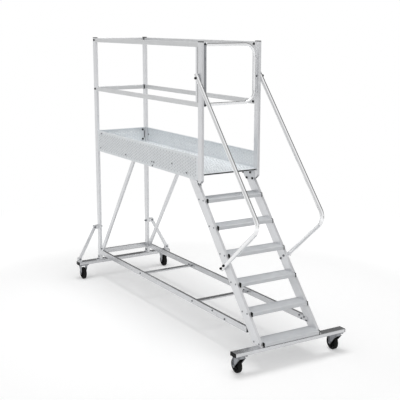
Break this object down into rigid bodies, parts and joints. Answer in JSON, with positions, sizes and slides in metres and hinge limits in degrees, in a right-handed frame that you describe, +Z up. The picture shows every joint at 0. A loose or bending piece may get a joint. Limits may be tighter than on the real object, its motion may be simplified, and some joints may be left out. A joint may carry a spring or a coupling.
{
  "type": "mobile platform ladder",
  "caption": "Wheeled aluminium platform ladder: ribbed treads between two stringers climb to a railed tear-plate deck on a caster base, with bent handrails and a swing gate.",
  "frame": {"origin": "on the floor, midway along and across the ladder", "axes": "+X from the platform towards the foot of the stair, +Y to the right of a person who climbs, +Z up"},
  "size_m": [3.0846, 1.092, 2.527],
  "materials": {
    "aluminium_profile": "mill finish, satin",
    "bright_tube": "bright satin",
    "ribbed_tread": "ribbed extrusion",
    "tear_plate": "raised tear pattern",
    "black_plastic": "moulded",
    "zinc_steel": "zinc plated",
    "wheel_rubber": "matte",
    "wheel_hub": "moulded"
  },
  "bodies": {
    "frame": {"base_beam_left": "aluminium_profile", "base_beam_right": "aluminium_profile", "base_crossbars": "aluminium_profile", "brace_left": "aluminium_profile", "brace_right": "aluminium_profile", "caster_plates": "zinc_steel", "crossbeam_end_caps": "black_plastic", "deck": "tear_plate", "deck_bearers": "aluminium_profile", "foot_brackets": "aluminium_profile", "fork_rear_left": "zinc_steel", "fork_rear_right": "zinc_steel", "front_crossbeam": "aluminium_profile", "front_post_left": "aluminium_profile", "front_post_right": "aluminium_profile", "gate_hinges": "aluminium_profile", "gate_stops": "aluminium_profile", "guard_uprights": "aluminium_profile", "handrail_left": "bright_tube", "handrail_right": "bright_tube", "handrail_standoffs": "aluminium_profile", "mid_rail_left": "aluminium_profile", "mid_rail_right": "aluminium_profile", "outrigger_brackets": "aluminium_profile", "outrigger_left": "aluminium_profile", "outrigger_right": "aluminium_profile", "platform_brackets": "aluminium_profile", "post_caps": "black_plastic", "rear_crossbeam": "aluminium_profile", "rear_post_left": "aluminium_profile", "rear_post_right": "aluminium_profile", "rear_rails": "aluminium_profile", "rear_tie": "aluminium_profile", "rear_toe_board": "tear_plate", "side_panel_left": "tear_plate", "side_panel_right": "tear_plate", "splice_plates": "aluminium_profile", "stringer_left": "aluminium_profile", "stringer_right": "aluminium_profile", "top_rail_left": "aluminium_profile", "top_rail_right": "aluminium_profile", "tread_1": "ribbed_tread", "tread_2": "ribbed_tread", "tread_3": "ribbed_tread", "tread_4": "ribbed_tread", "tread_5": "ribbed_tread", "tread_6": "ribbed_tread", "tread_end_caps": "black_plastic"},
    "gate": {"gate": "bright_tube", "gate_stile": "zinc_steel"},
    "wheel_rear_left": {"hub_rear_left": "wheel_hub", "tyre_rear_left": "wheel_rubber"},
    "wheel_rear_right": {"hub_rear_right": "wheel_hub", "tyre_rear_right": "wheel_rubber"},
    "wheel_front_left": {"hub_front_left": "wheel_hub", "tyre_front_left": "wheel_rubber"},
    "caster_front_left": {"fork_front_left": "zinc_steel"},
    "wheel_front_right": {"hub_front_right": "wheel_hub", "tyre_front_right": "wheel_rubber"},
    "caster_front_right": {"fork_front_right": "zinc_steel"}
  },
  "joints": [
    {"name": "gate_swing", "type": "hinge", "parent": "frame", "child": "gate", "pos_m": [0.601, -0.25, 2.25], "axis": [0, 0, 1], "range_deg": [0, 90]},
    {"name": "roll_rear_left", "type": "hinge", "parent": "frame", "child": "wheel_rear_left", "pos_m": [-1.479, -0.487, 0.0625], "axis": [0, 1, 0], "continuous": true},
    {"name": "roll_rear_right", "type": "hinge", "parent": "frame", "child": "wheel_rear_right", "pos_m": [-1.479, 0.487, 0.0625], "axis": [0, 1, 0], "continuous": true},
    {"name": "swivel_front_left", "type": "hinge", "parent": "frame", "child": "caster_front_left", "pos_m": [1.504, -0.48, 0.14], "axis": [0, 0, 1], "continuous": true},
    {"name": "roll_front_left", "type": "hinge", "parent": "caster_front_left", "child": "wheel_front_left", "pos_m": [1.46, -0.48, 0.0625], "axis": [0, 1, 0], "continuous": true},
    {"name": "swivel_front_right", "type": "hinge", "parent": "frame", "child": "caster_front_right", "pos_m": [1.504, 0.48, 0.14], "axis": [0, 0, 1], "continuous": true},
    {"name": "roll_front_right", "type": "hinge", "parent": "caster_front_right", "child": "wheel_front_right", "pos_m": [1.46, 0.48, 0.0625], "axis": [0, 1, 0], "continuous": true}
  ]
}
